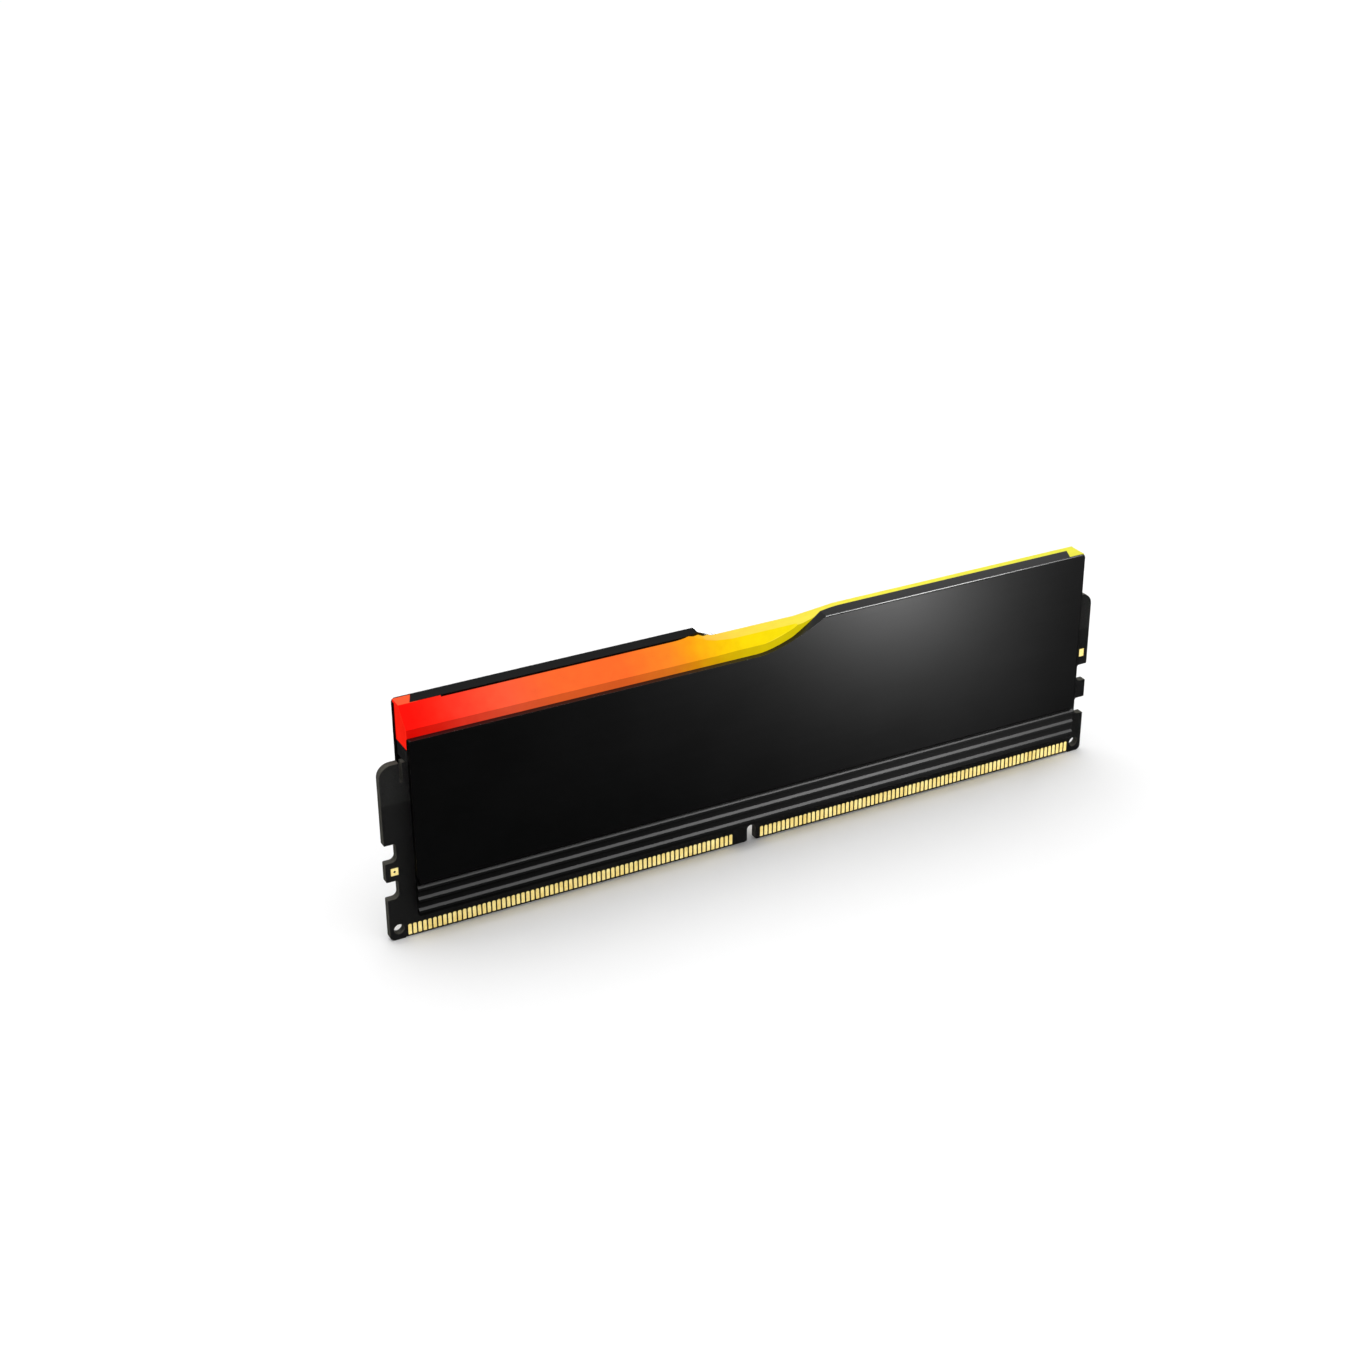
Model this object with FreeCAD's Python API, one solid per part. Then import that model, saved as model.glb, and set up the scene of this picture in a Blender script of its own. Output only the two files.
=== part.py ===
import FreeCAD, Part
import math
import os
from FreeCAD import Vector

# Desktop memory module: circuit board with 288 edge contacts, two aluminium heat spreaders
# and a light bar along the top.
# Millimetres. X runs along the module, Y through its thickness, Z up.
# Origin: middle of the board's bottom edge. The front face looks to -Y.

# ---- driving dimensions -------------------------------------------------------------------
# circuit board
BOARD_LENGTH = 133.35
BOARD_HEIGHT = 31.25
BOARD_THICKNESS = 1.27
BOARD_CORNER = 0.9          # bottom corner radius
WING_CORNER = 2.2           # top corner radius
NOTCH_DEPTH = 1.95
NOTCH_ROOT_RADIUS = 0.9     # lower inner corner of a latch notch
NOTCH_TOP_RADIUS = 0.4      # upper inner corner of a latch notch
NOTCH_MOUTH_RADIUS = 0.2    # outer corners of a latch notch
NOTCH_LEVELS = ((7.6, 10.8), (14.2, 17.4))   # bottom and top of the two notches at each end
SLOT_INNER_X = 62.85        # relief slot at the top of each wing
SLOT_WIDTH = 0.45
SLOT_BOTTOM = 27.9
KEY_CENTRE = -1.54
KEY_WIDTH = 1.58
KEY_HEIGHT = 3.1
KEY_RADIUS = 0.7
KEY_MOUTH = 0.3
HOLE_X = 65.1               # tooling hole in each lower corner
HOLE_Z = 1.9
HOLE_RADIUS = 0.85
EDGE_BEVEL_DEPTH = 0.22
EDGE_BEVEL_HEIGHT = 0.38
EDGE_BEVEL_HALF = 64.0

# edge contacts
CONTACT_PITCH = 0.85
CONTACT_WIDTH = 0.6
CONTACT_HEIGHT = 1.9
CONTACT_BOTTOM = 0.45
CONTACT_THICKNESS = 0.05
CONTACT_FOOT_RADIUS = 0.08
CONTACT_TOP_RADIUS = 0.24
CONTACT_FIRST_X = -63.325
LEFT_COUNT = 69
RIGHT_COUNT = 75
RIGHT_FIRST_X = 0.425

# bare pads near the board's ends, as (length, height) and (x, z) of the centre
TAB_PAD_SIZE = (1.25, 1.3)
TAB_PAD_CENTRE = (-65.2, 12.5)
TAB_PAD_VIA_RADIUS = 0.2
WING_PAD_SIZE = (0.95, 1.45)
WING_PAD_CENTRE = (65.35, 19.8)

# heat spreaders
PLATE_HALF_LENGTH = 62.5
PLATE_INNER_Y = 2.4
PLATE_OUTER_Y = 3.45
PLATE_BOTTOM = 4.8
PLATE_LOW_TOP = 36.05       # top of the half that leaves the light bar bare
PLATE_TOP = 40.5            # top of the flange
CURVE_LOW_X = -2.0          # the S-shaped edge runs between these two
CURVE_HIGH_X = 10.6
CURVE_LOW_HANDLE = 3.4      # how far the edge holds its level direction at the low end
CURVE_HIGH_HANDLE = (4.75, 2.7)   # how far it holds its slope at the high end, along and down
FLANGE_THICKNESS = 0.5
FLANGE_EDGE_Y = 0.65        # inner edge of the flange, distance from the middle plane
FLANGE_END = (60.4, 59.35)   # x of the flange's slanted end: at its inner edge, beside the rim
# the flange starts as a lip that widens along the S-shaped edge: x, distance from the middle plane
LIP_EDGE = ((4.9, 2.4), (7.5, 1.93), (10.4, 1.35), (12.9, 0.82), (17.0, FLANGE_EDGE_Y))
PLATE_CORNER_TOP_RADIUS = 0.7
PLATE_CORNER_LOW_RADIUS = 0.3
BEND_RADIUS = 0.35          # outside of the fold between wall and flange
RIM_Y = 3.08                # inner face of the thin rim beside the light bar's end tab
BAND_TOP = 10.95            # the ribbed band below the plate's main face
BAND_STEP = 10.42
BAND_Y = 3.0
BAND_CORNER_X = 0.55        # chamfer on the main face's lower corners
BAND_CORNER_TOP = 12.4
BAND_CORNER_RUN = 1.9
BAND_CORNER_LIFT = 0.2
RIB_LEVELS = (5.8, 7.83, 9.84)
RIB_BASE = 0.95
RIB_CREST = 0.35
RIB_Y = 3.38
LABEL_SIZE = (38.0, 16.0)
LABEL_CENTRE = (-2.0, 22.0)
LABEL_RECESS = 0.12
LABEL_THICKNESS = 0.1
LABEL_MARGIN = 0.2          # gap between the label and the edge of its recess
LABEL_CORNER = 0.8

# light bar
BAR_HALF_LENGTH = 62.35
BAR_Y = 2.3
BAR_BOTTOM = 33.9
BAR_TOP = 40.45             # nearly flush with the flanges
FLANGE_GAP = 0.05           # clearance between the bar and the flanges
TAB_BOTTOM = 40.0           # the end tabs lie on the rims of the plates
TAB_Y = 3.02
TAB_INNER_X = 59.1          # the tab is then cut back to clear the flange's end
CREASE_RISE = 1.3           # the front crease runs this far above the plate's S-shaped edge
SLOPE_FOOT_Y = 2.35         # where both slopes start, distance from the middle plane
FRONT_SLOPE_HEAD = (0.9, 40.45)    # y, z where the front slope would reach the bar's top
END_SLOPE_HEAD = (0.5, 40.45)      # the same beside the end tab
END_SLOPE_X = -55.4
REAR_SLOPE_HEAD = (0.6, 40.45)     # distance from the middle plane, z
SADDLE_Z = 39.45            # level top in the middle of the bar
# how the level top widens to the front, from the front slope to its full width: x, y
SADDLE_EDGE = ((-9.8, -0.02), (-8.5, -0.9), (-7.1, -1.3), (-5.8, -1.55), (9.0, -1.6))
# the hollow above the level top, with a ramp at each end: x, z
SADDLE_HOLLOW = ((-13.0, 40.5), (-9.8, SADDLE_Z), (7.0, SADDLE_Z), (14.5, 40.5))
CHANNEL_HALF_LENGTH = 60.0
CHANNEL_Y = 1.3
CHANNEL_TOP = 36.9
TAPE_HALF_LENGTH = 60.0
TAPE_LEVELS = (34.3, 36.0)

# carrier rail
CARRIER_HALF_LENGTH = 62.3
WINDOW_LENGTH = 5.0
WINDOW_Y = 1.75

# lights
LIGHT_COUNT = 10
LIGHT_PITCH = 12.0
LIGHT_SIZE = (3.2, 1.0, 1.5)
LIGHT_TOP = 31.2

# chips and small parts
CHIP_SIZE = (10.0, 1.1, 11.0)
CHIP_FIRST_X = 14.6
CHIP_PITCH = 12.7
CHIP_Z = 15.6
CHIP_EDGE = 0.12
CHIP_MARK_RADIUS = 0.4
MARK_DEPTH = 0.05           # pin-one dimple
MARK_INSET = 2.2            # its distance from the corner, in radii
PMIC_SIZE = (4.0, 0.75, 3.2)
PMIC_CENTRE = (0.0, 25.4)
PMIC_MARK_RADIUS = 0.2
HUB_SIZE = (3.0, 0.55, 2.0)
HUB_CENTRE = (-4.6, 9.4)
HUB_MARK_RADIUS = 0.15
CONTROLLER_SIZE = (4.0, 0.8, 4.0)
CONTROLLER_CENTRE = (4.0, 26.0)
INDUCTOR_SIZE = (3.2, 1.2, 3.2)
INDUCTOR_CENTRES = ((-5.6, 25.4), (5.6, 25.4))
SMALL_INDUCTOR_SIZE = (2.0, 1.0, 1.6)
SMALL_INDUCTOR_CENTRE = (0.0, 20.6)
INDUCTOR_CORNER = 0.3
LARGE_CAP_SIZE = (0.8, 0.8, 1.6)
LARGE_CAP_FIRST = (9.4, 24.3)
LARGE_CAP_PITCH = (1.5, 2.3)
LARGE_CAP_GRID = (3, 2)
SMALL_CAP_SIZE = (1.0, 0.5, 0.5)
SMALL_CAP_OFFSETS = (-3.0, 0.0, 3.0)   # from a memory chip's centre
SMALL_CAP_LEVELS = (8.9, 22.4)
RESISTOR_SIZE = (2.0, 0.45, 1.0)
RESISTOR_FIRST_X = 8.0
RESISTOR_PITCH = 5.4
RESISTOR_Z = 6.4
RESISTORS_PER_SIDE = 10
PAD_Z = (9.9, 21.3)
PAD_X = (9.0, 59.0)
PMIC_PAD_X = 3.2
PMIC_PAD_Z = (23.2, 27.6)
FOAM_Z = (8.6, 24.4)

BOARD_X = BOARD_LENGTH / 2
BOARD_Y = BOARD_THICKNESS / 2
OVERCUT = 1.0               # how far cutting tools reach past what they cut
SAME = 1e-6                 # positions closer than this count as equal


# ---- helpers ------------------------------------------------------------------------------
def box(x0, x1, y0, y1, z0, z1):
    return Part.makeBox(x1 - x0, y1 - y0, z1 - z0, Vector(x0, y0, z0))


def turned(shape):
    """The same shape after half a turn about Z."""
    copy = shape.copy()
    copy.rotate(Vector(0, 0, 0), Vector(0, 0, 1), 180)
    return copy


def rounded_edges(corners):
    """Edges of a closed outline in the XZ plane; each corner is (x, z, radius)."""
    count = len(corners)
    points = [Vector(x, 0, z) for x, z, radius in corners]
    edges = []
    starts = []
    ends = []
    arcs = []
    for i in range(count):
        here = points[i]
        back = (points[i - 1] - here).normalize()
        ahead = (points[(i + 1) % count] - here).normalize()
        radius = corners[i][2]
        if radius == 0:
            starts.append(here)
            ends.append(here)
            arcs.append(None)
            continue
        half = back.getAngle(ahead) / 2
        reach = radius / math.tan(half)
        centre = here + (back + ahead).normalize() * (radius / math.sin(half))
        middle = centre + (here - centre).normalize() * radius
        starts.append(here + back * reach)
        ends.append(here + ahead * reach)
        arcs.append(middle)
    for i in range(count):
        if arcs[i] is not None:
            edges.append(Part.Arc(starts[i], arcs[i], ends[i]).toShape())
        following = starts[(i + 1) % count]
        if ends[i].distanceToPoint(following) > SAME:
            edges.append(Part.LineSegment(ends[i], following).toShape())
    return edges


def slab(edges, y0, y1):
    """Outline in the XZ plane, extruded along Y from y0 to y1."""
    face = Part.Face(Part.Wire(Part.sortEdges(edges)[0]))
    face.translate(Vector(0, y0, 0))
    return face.extrude(Vector(0, y1 - y0, 0))


def bar_along_x(profile, x0, x1):
    """Closed profile of (y, z) points, extruded along X."""
    points = [Vector(x0, y, z) for y, z in profile]
    wire = Part.makePolygon(points + [points[0]])
    return Part.Face(wire).extrude(Vector(x1 - x0, 0, 0))


def front_block(size, centre):
    """Block standing on the board's front face; size is (x, depth, z), centre is (x, z)."""
    length, depth, height = size
    block = Part.makeBox(length, depth, height)
    block.translate(Vector(centre[0] - length / 2, -BOARD_Y - depth, centre[1] - height / 2))
    return block


def rear_block(size, centre):
    """Block standing on the board's rear face."""
    length, depth, height = size
    block = Part.makeBox(length, depth, height)
    block.translate(Vector(centre[0] - length / 2, BOARD_Y, centre[1] - height / 2))
    return block


def fused(shapes):
    result = shapes[0]
    for shape in shapes[1:]:
        result = result.fuse(shape)
    return result.removeSplitter()


def group(shapes):
    """Separate solids kept together in one node."""
    return Part.Compound(shapes)


# ---- circuit board ------------------------------------------------------------------------
def board_side_corners():
    """Corners of the board's right half, from the bottom edge up to the top slot."""
    corners = [(BOARD_X, 0, BOARD_CORNER)]
    for low, high in NOTCH_LEVELS:
        corners.append((BOARD_X, low, NOTCH_MOUTH_RADIUS))
        corners.append((BOARD_X - NOTCH_DEPTH, low, NOTCH_ROOT_RADIUS))
        corners.append((BOARD_X - NOTCH_DEPTH, high, NOTCH_TOP_RADIUS))
        corners.append((BOARD_X, high, NOTCH_MOUTH_RADIUS))
    corners.append((BOARD_X, BOARD_HEIGHT, WING_CORNER))
    corners.append((SLOT_INNER_X + SLOT_WIDTH, BOARD_HEIGHT, 0))
    corners.append((SLOT_INNER_X + SLOT_WIDTH, SLOT_BOTTOM, 0))
    corners.append((SLOT_INNER_X, SLOT_BOTTOM, 0))
    corners.append((SLOT_INNER_X, BOARD_HEIGHT, 0))
    return corners


def key_corners():
    """The key notch in the bottom edge, from its left mouth to its right mouth."""
    left = KEY_CENTRE - KEY_WIDTH / 2
    right = KEY_CENTRE + KEY_WIDTH / 2
    return [
        (left - KEY_MOUTH, 0, 0),
        (left, KEY_MOUTH, 0),
        (left, KEY_HEIGHT, KEY_RADIUS),
        (right, KEY_HEIGHT, KEY_RADIUS),
        (right, KEY_MOUTH, 0),
        (right + KEY_MOUTH, 0, 0),
    ]


def pcb():
    right = board_side_corners()
    left = [(-x, z, radius) for x, z, radius in reversed(right)]
    board = slab(rounded_edges(key_corners() + right + left), -BOARD_Y, BOARD_Y)
    for x in (-HOLE_X, HOLE_X):
        start = Vector(x, -BOARD_Y - OVERCUT, HOLE_Z)
        length = BOARD_THICKNESS + 2 * OVERCUT
        board = board.cut(Part.makeCylinder(HOLE_RADIUS, length, start, Vector(0, 1, 0)))
    bevel = bar_along_x(
        [
            (-BOARD_Y - OVERCUT, -OVERCUT),
            (-BOARD_Y + EDGE_BEVEL_DEPTH, -OVERCUT),
            (-BOARD_Y + EDGE_BEVEL_DEPTH, 0),
            (-BOARD_Y, EDGE_BEVEL_HEIGHT),
            (-BOARD_Y - OVERCUT, EDGE_BEVEL_HEIGHT),
        ],
        -EDGE_BEVEL_HALF,
        EDGE_BEVEL_HALF,
    )
    return board.cut(bevel).cut(turned(bevel))


# ---- gold contacts and pads ---------------------------------------------------------------
def contact_block(first_x, count, y0, y1):
    """A row of separate contacts with rounded tops."""
    half = CONTACT_WIDTH / 2
    top = CONTACT_BOTTOM + CONTACT_HEIGHT
    contacts = []
    for i in range(count):
        x = first_x + i * CONTACT_PITCH
        corners = [
            (x - half, CONTACT_BOTTOM, CONTACT_FOOT_RADIUS),
            (x + half, CONTACT_BOTTOM, CONTACT_FOOT_RADIUS),
            (x + half, top, CONTACT_TOP_RADIUS),
            (x - half, top, CONTACT_TOP_RADIUS),
        ]
        contacts.append(slab(rounded_edges(corners), y0, y1))
    return group(contacts)


def front_contacts(first_x, count):
    return contact_block(first_x, count, -BOARD_Y - CONTACT_THICKNESS, -BOARD_Y)


def rear_contacts(first_x, count):
    return contact_block(first_x, count, BOARD_Y, BOARD_Y + CONTACT_THICKNESS)


def test_pads():
    """Bare gold pads on the end tab and the wing, one with a small via."""
    left = front_block((TAB_PAD_SIZE[0], CONTACT_THICKNESS, TAB_PAD_SIZE[1]), TAB_PAD_CENTRE)
    via_start = Vector(TAB_PAD_CENTRE[0], -BOARD_Y - OVERCUT, TAB_PAD_CENTRE[1])
    left = left.cut(Part.makeCylinder(TAB_PAD_VIA_RADIUS, 2 * OVERCUT, via_start, Vector(0, 1, 0)))
    right = front_block((WING_PAD_SIZE[0], CONTACT_THICKNESS, WING_PAD_SIZE[1]), WING_PAD_CENTRE)
    return group([left, right])


# ---- chips and other small parts on the board -----------------------------------------------
def chip(size, centre, mark_radius):
    """Moulded package with bevelled face edges and a shallow pin-one dimple."""
    body = front_block(size, centre)
    face_y = -BOARD_Y - size[1]
    edges = [e for e in body.Edges if all(abs(v.Y - face_y) < SAME for v in e.Vertexes)]
    body = body.makeChamfer(CHIP_EDGE, edges)
    mark_x = centre[0] - size[0] / 2 + MARK_INSET * mark_radius
    mark_z = centre[1] + size[2] / 2 - MARK_INSET * mark_radius
    start = Vector(mark_x, face_y - OVERCUT, mark_z)
    dimple = Part.makeCylinder(mark_radius, OVERCUT + MARK_DEPTH, start, Vector(0, 1, 0))
    return body.cut(dimple)


def chip_centres():
    outward = [CHIP_FIRST_X + CHIP_PITCH * i for i in range(4)]
    return [-x for x in reversed(outward)] + outward


def inductor(size, centre):
    body = front_block(size, centre)
    upright = [e for e in body.Edges if abs(e.Vertexes[0].Y - e.Vertexes[-1].Y) > size[1] / 2]
    return body.makeFillet(INDUCTOR_CORNER, upright)


def power_capacitors():
    """Larger ceramic capacitors either side of the power section."""
    blocks = []
    for side in (-1, 1):
        for column in range(LARGE_CAP_GRID[0]):
            for row in range(LARGE_CAP_GRID[1]):
                x = side * (LARGE_CAP_FIRST[0] + column * LARGE_CAP_PITCH[0])
                z = LARGE_CAP_FIRST[1] + row * LARGE_CAP_PITCH[1]
                blocks.append(front_block(LARGE_CAP_SIZE, (x, z)))
    return group(blocks)


def decoupling_capacitors():
    """Small ceramic capacitors in rows below and above the memory chips."""
    blocks = []
    for x in chip_centres():
        for offset in SMALL_CAP_OFFSETS:
            for z in SMALL_CAP_LEVELS:
                blocks.append(front_block(SMALL_CAP_SIZE, (x + offset, z)))
    return group(blocks)


def resistor_networks():
    """Four-element resistor chips in a row above the contacts."""
    blocks = []
    for side in (-1, 1):
        for i in range(RESISTORS_PER_SIDE):
            x = side * (RESISTOR_FIRST_X + i * RESISTOR_PITCH)
            blocks.append(front_block(RESISTOR_SIZE, (x, RESISTOR_Z)))
    return group(blocks)


def light_x(index):
    return (index - (LIGHT_COUNT - 1) / 2) * LIGHT_PITCH


def light(index):
    """Small light at the board's top edge, on the front and the rear face by turns."""
    centre = (light_x(index), LIGHT_TOP - LIGHT_SIZE[2] / 2)
    if index % 2 == 0:
        return front_block(LIGHT_SIZE, centre)
    return rear_block(LIGHT_SIZE, centre)


# ---- pads and tapes -------------------------------------------------------------------------
def front_thermal_pad(side):
    chip_face = BOARD_Y + CHIP_SIZE[1]
    x0, x1 = sorted((side * PAD_X[0], side * PAD_X[1]))
    return box(x0, x1, -PLATE_INNER_Y, -chip_face, PAD_Z[0], PAD_Z[1])


def power_thermal_pad():
    chip_face = BOARD_Y + PMIC_SIZE[1]
    return box(-PMIC_PAD_X, PMIC_PAD_X, -PLATE_INNER_Y, -chip_face, PMIC_PAD_Z[0], PMIC_PAD_Z[1])


def rear_thermal_pad(side):
    x0, x1 = sorted((side * PAD_X[0], side * PAD_X[1]))
    return box(x0, x1, BOARD_Y, PLATE_INNER_Y, FOAM_Z[0], FOAM_Z[1])


def front_tape():
    return box(-TAPE_HALF_LENGTH, TAPE_HALF_LENGTH, -PLATE_INNER_Y, -BAR_Y, TAPE_LEVELS[0], TAPE_LEVELS[1])


# ---- heat spreader --------------------------------------------------------------------------
def s_curve(lift):
    """S-shaped edge in the XZ plane, flat at its low end, raised by lift."""
    foot = PLATE_LOW_TOP + lift
    head = PLATE_TOP + lift
    back, down = CURVE_HIGH_HANDLE
    curve = Part.BezierCurve()
    curve.setPoles([
        Vector(CURVE_LOW_X, 0, foot),
        Vector(CURVE_LOW_X + CURVE_LOW_HANDLE, 0, foot),
        Vector(CURVE_HIGH_X - back, 0, head - down),
        Vector(CURVE_HIGH_X, 0, head),
    ])
    return curve.toShape()


def plate_outline():
    """Front view of the plate: low on the left, S-shaped rise, full height on the right."""
    half = PLATE_HALF_LENGTH
    rise = s_curve(0)
    corners = [
        (CURVE_LOW_X, PLATE_LOW_TOP, 0),
        (-half, PLATE_LOW_TOP, PLATE_CORNER_LOW_RADIUS),
        (-half, PLATE_BOTTOM, PLATE_CORNER_LOW_RADIUS),
        (half, PLATE_BOTTOM, PLATE_CORNER_LOW_RADIUS),
        (half, PLATE_TOP, PLATE_CORNER_TOP_RADIUS),
        (CURVE_HIGH_X, PLATE_TOP, 0),
    ]
    straight = [e for e in rounded_edges(corners) if not spans_the_curve(e)]
    return straight + [rise]


def spans_the_curve(edge):
    ends = sorted(v.X for v in edge.Vertexes)
    return abs(ends[0] - CURVE_LOW_X) < SAME and abs(ends[-1] - CURVE_HIGH_X) < SAME


def plate_profile():
    """Section of the plate's wall across X, with its step and ribs, as (y, z) points."""
    points = [(-PLATE_INNER_Y, PLATE_BOTTOM), (-BAND_Y, PLATE_BOTTOM)]
    for level in RIB_LEVELS:
        points.append((-BAND_Y, level - RIB_BASE / 2))
        points.append((-RIB_Y, level - RIB_CREST / 2))
        points.append((-RIB_Y, level + RIB_CREST / 2))
        points.append((-BAND_Y, level + RIB_BASE / 2))
    points.append((-BAND_Y, BAND_STEP))
    points.append((-PLATE_OUTER_Y, BAND_TOP))
    points.append((-PLATE_OUTER_Y, PLATE_TOP))
    points.append((-PLATE_INNER_Y, PLATE_TOP))
    return points


def flange_end_x(y):
    """Where the flange's slanted end is, at this y."""
    inner_x, outer_x = FLANGE_END
    share = (-y - FLANGE_EDGE_Y) / (RIM_Y - FLANGE_EDGE_Y)
    return inner_x + share * (outer_x - inner_x)


def flange_plan(gap):
    """Seen from above: the area of the lip and the flange, grown by the gap."""
    start_x = LIP_EDGE[0][0] - gap
    inner_y = -FLANGE_EDGE_Y + gap
    outer_y = -PLATE_OUTER_Y - OVERCUT
    points = [Vector(x, -y + gap, 0) for x, y in LIP_EDGE]
    sweep = Part.BSplineCurve()
    sweep.interpolate(Points=points, InitialTangent=Vector(1, 0.2, 0), FinalTangent=Vector(1, 0, 0))
    corners = [
        points[-1],
        Vector(flange_end_x(inner_y) + gap, inner_y, 0),
        Vector(flange_end_x(outer_y) + gap, outer_y, 0),
        Vector(start_x, outer_y, 0),
        Vector(start_x, points[0].y, 0),
        points[0],
    ]
    outline = [sweep.toShape()]
    for here, there in zip(corners, corners[1:]):
        if here.distanceToPoint(there) > SAME:
            outline.append(Part.LineSegment(here, there).toShape())
    area = Part.Face(Part.Wire(outline))
    area.translate(Vector(0, 0, PLATE_BOTTOM))
    return area.extrude(Vector(0, 0, PLATE_TOP - PLATE_BOTTOM + 2 * OVERCUT))


def flange():
    """The sheet that turns inward below the top edge, with its lip along the S-shaped edge."""
    outline = slab(plate_outline(), -PLATE_OUTER_Y, 0)
    below = outline.copy()
    below.translate(Vector(0, 0, -FLANGE_THICKNESS))
    return outline.cut(below).common(flange_plan(0))


def flange_space():
    """Room that the light bar leaves for the front plate's flange."""
    below = slab(plate_outline(), -PLATE_OUTER_Y - OVERCUT, OVERCUT)
    below.translate(Vector(0, 0, -FLANGE_THICKNESS - FLANGE_GAP))
    return flange_plan(FLANGE_GAP).cut(below)


def band_corners():
    """Chamfers that take the lower corners off the raised main face, down to the band."""
    cutters = []
    for side in (-1, 1):
        edge = side * PLATE_HALF_LENGTH
        outside = edge + side * OVERCUT
        inside = edge - side * BAND_CORNER_X
        points = [
            Vector(outside, 0, BAND_CORNER_TOP + BAND_CORNER_RUN),
            Vector(edge, 0, BAND_CORNER_TOP),
            Vector(inside, 0, BAND_STEP + BAND_CORNER_LIFT),
            Vector(inside, 0, BAND_STEP),
            Vector(outside, 0, BAND_STEP),
        ]
        face = Part.Face(Part.makePolygon(points + [points[0]]))
        face.translate(Vector(0, -PLATE_OUTER_Y - OVERCUT, 0))
        cutters.append(face.extrude(Vector(0, PLATE_OUTER_Y + OVERCUT - BAND_Y, 0)))
    return cutters


def tab_seat():
    """What the light bar's end tab takes from the top of the plate, up to the thin rim."""
    outside = PLATE_HALF_LENGTH + OVERCUT
    points = [
        Vector(flange_end_x(0), 0, 0),
        Vector(flange_end_x(-RIM_Y), -RIM_Y, 0),
        Vector(outside, -RIM_Y, 0),
        Vector(outside, 0, 0),
    ]
    area = Part.Face(Part.makePolygon(points + [points[0]]))
    area.translate(Vector(0, 0, PLATE_TOP - FLANGE_THICKNESS))
    return area.extrude(Vector(0, 0, FLANGE_THICKNESS + OVERCUT))


def front_heat_spreader():
    half = PLATE_HALF_LENGTH
    section = bar_along_x(plate_profile(), -half - OVERCUT, half + OVERCUT)
    wall = section.common(slab(plate_outline(), -PLATE_OUTER_Y - OVERCUT, 0))
    plate = fused([wall, flange()]).cut(tab_seat())
    for cutter in band_corners():
        plate = plate.cut(cutter)
    bend = [e for e in plate.Edges if is_bend_edge(e)]
    plate = plate.makeFillet(BEND_RADIUS, bend)
    return plate.Solids[0]


def is_bend_edge(edge):
    """The long outer edge where the wall turns into the flange."""
    if edge.Length < PLATE_HALF_LENGTH / 2:
        return False
    return all(abs(v.Y + PLATE_OUTER_Y) < SAME and abs(v.Z - PLATE_TOP) < SAME for v in edge.Vertexes)


def rear_heat_spreader():
    """The same plate after half a turn, with a shallow recess for the label."""
    length, height = LABEL_SIZE
    recess = Part.makeBox(length, LABEL_RECESS + OVERCUT, height)
    x = LABEL_CENTRE[0] - length / 2
    z = LABEL_CENTRE[1] - height / 2
    recess.translate(Vector(x, PLATE_OUTER_Y - LABEL_RECESS, z))
    return turned(front_heat_spreader()).cut(recess)


def blank_label():
    half_length = LABEL_SIZE[0] / 2 - LABEL_MARGIN
    half_height = LABEL_SIZE[1] / 2 - LABEL_MARGIN
    x, z = LABEL_CENTRE
    inner = PLATE_OUTER_Y - LABEL_RECESS
    corners = [
        (x - half_length, z - half_height, LABEL_CORNER),
        (x + half_length, z - half_height, LABEL_CORNER),
        (x + half_length, z + half_height, LABEL_CORNER),
        (x - half_length, z + half_height, LABEL_CORNER),
    ]
    return slab(rounded_edges(corners), inner, inner + LABEL_THICKNESS)


# ---- light bar and its carrier ----------------------------------------------------------------
def slope_section(x, side, head):
    """Closed outline, across X, of what a slope takes away; side is -1 for the front, 1 for the rear."""
    head_y, head_z = head
    foot_y = side * SLOPE_FOOT_Y
    foot_z = PLATE_LOW_TOP + CREASE_RISE
    rate = (head_z - foot_z) / (head_y - foot_y)
    outer_y = foot_y + side * OVERCUT
    ceiling = PLATE_TOP + 2 * OVERCUT
    points = [
        Vector(x, outer_y, foot_z + side * OVERCUT * rate),
        Vector(x, head_y, head_z),
        Vector(x, head_y, ceiling),
        Vector(x, outer_y, ceiling),
    ]
    return Part.makePolygon(points + [points[0]])


def slope_cut(side, stations):
    """Ruled cutter through (x, head) stations along the bar."""
    return Part.makeLoft([slope_section(x, side, head) for x, head in stations], True, True)


def above_curve(lift):
    """Everything above a line that follows the front plate's S-shaped edge, raised by lift."""
    left = -BAR_HALF_LENGTH - 2 * OVERCUT
    floor = PLATE_LOW_TOP + lift
    top = PLATE_TOP + lift
    corners = [
        Vector(CURVE_HIGH_X, 0, top),
        Vector(CURVE_HIGH_X, 0, top + OVERCUT),
        Vector(left, 0, top + OVERCUT),
        Vector(left, 0, floor - OVERCUT),
        Vector(CURVE_LOW_X, 0, floor - OVERCUT),
        Vector(CURVE_LOW_X, 0, floor),
    ]
    outline = [s_curve(lift)]
    for here, there in zip(corners, corners[1:]):
        outline.append(Part.LineSegment(here, there).toShape())
    return slab(outline, -PLATE_OUTER_Y - OVERCUT, PLATE_OUTER_Y)


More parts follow.
